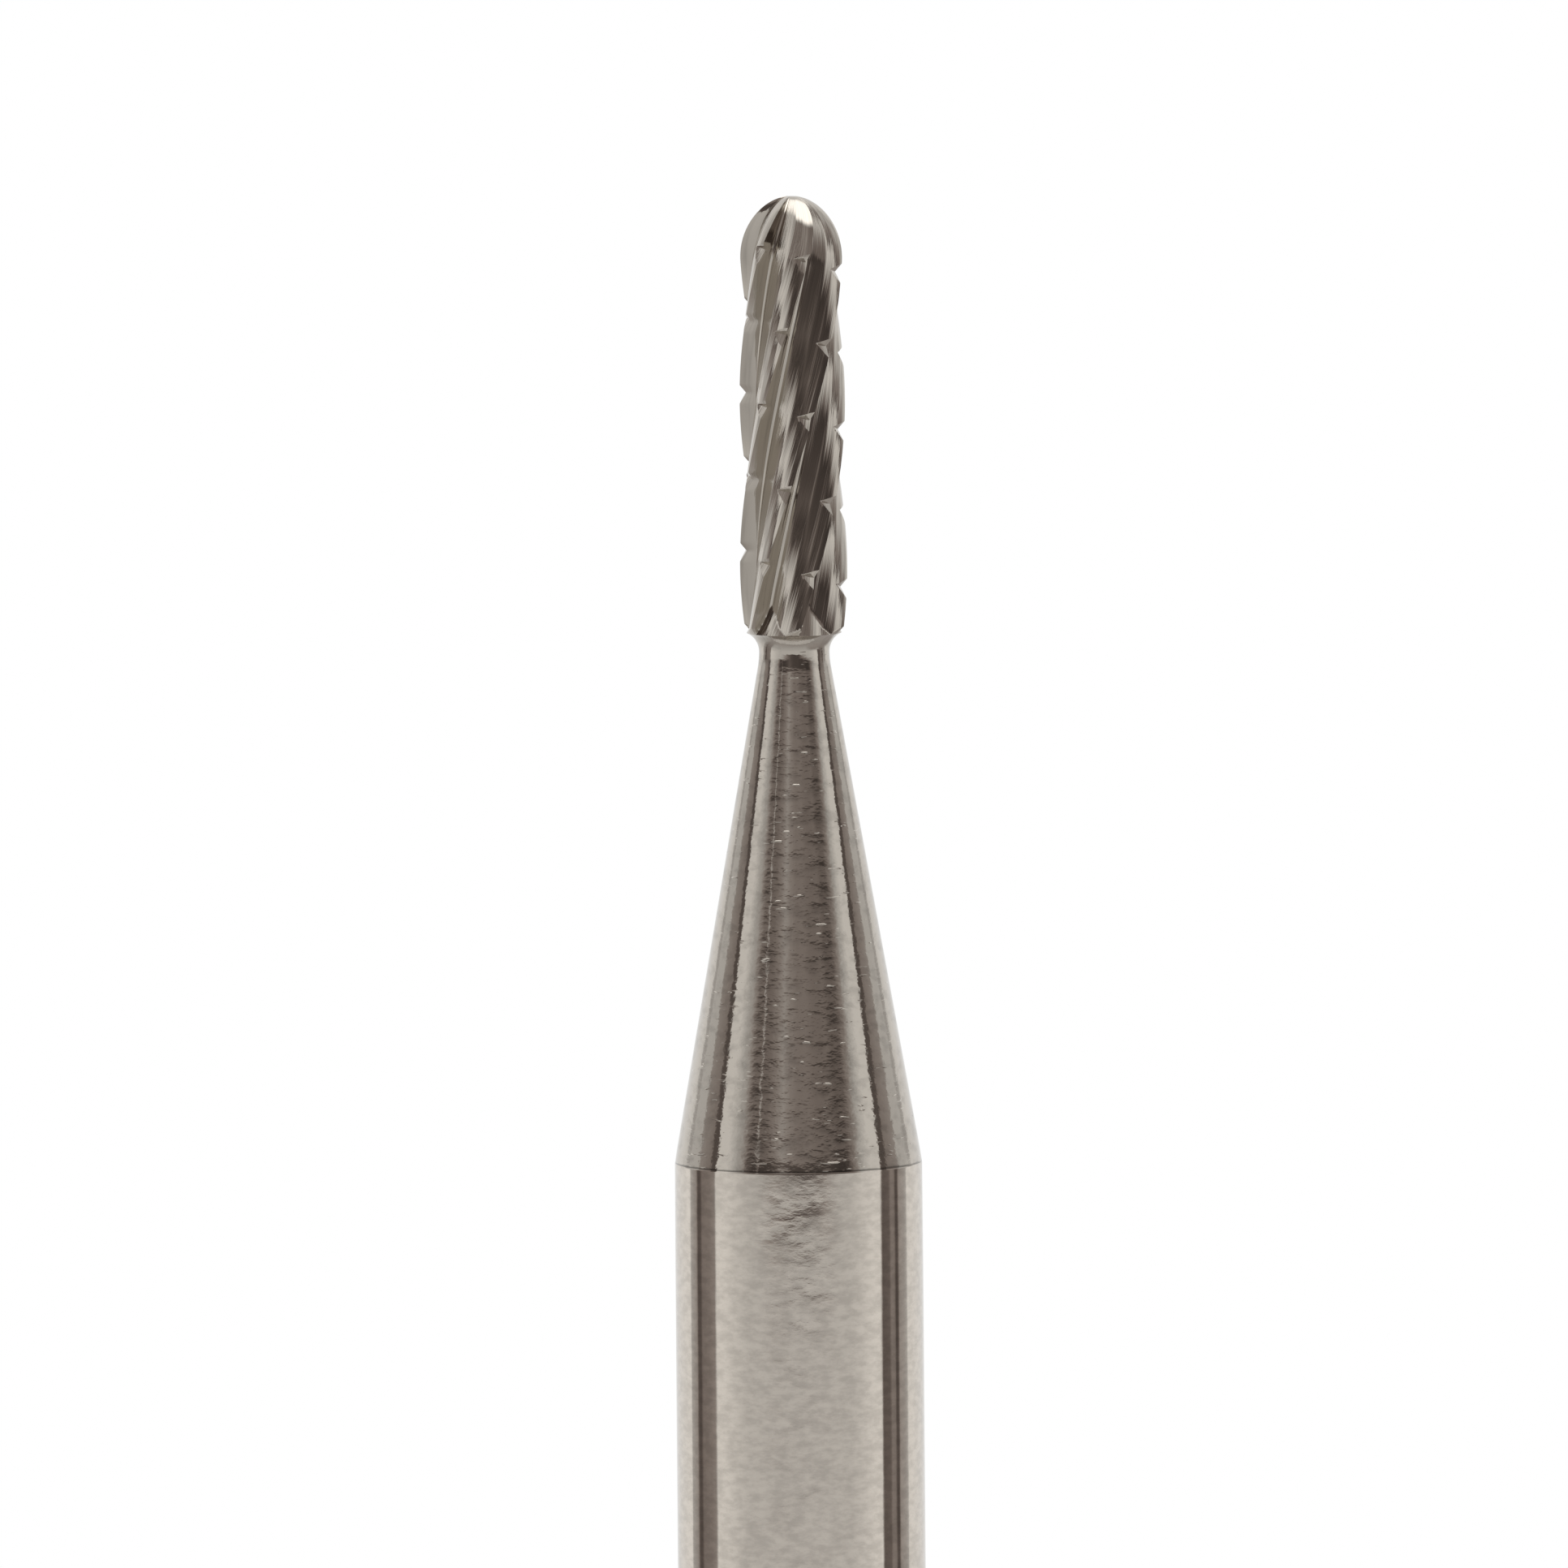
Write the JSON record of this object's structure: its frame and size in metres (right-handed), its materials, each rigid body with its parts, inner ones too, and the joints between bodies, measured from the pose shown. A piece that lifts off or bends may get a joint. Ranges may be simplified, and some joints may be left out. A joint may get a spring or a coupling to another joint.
{
  "type": "dental bur",
  "caption": "Round-end cross-cut fissure bur: spiral-fluted head on a long neck cone, butt-joined to a straight cylindrical shank.",
  "frame": {"origin": "centre of the shank's end face", "axes": "+Z along the axis from the shank's end to the cutting tip; -Y is the side the picture shows"},
  "size_m": [0.0024, 0.0024, 0.0445],
  "materials": {
    "carbide": "satin",
    "steel": "satin"
  },
  "bodies": {
    "root": {"carbide_head": "carbide", "steel_shank": "steel"}
  },
  "joints": []
}
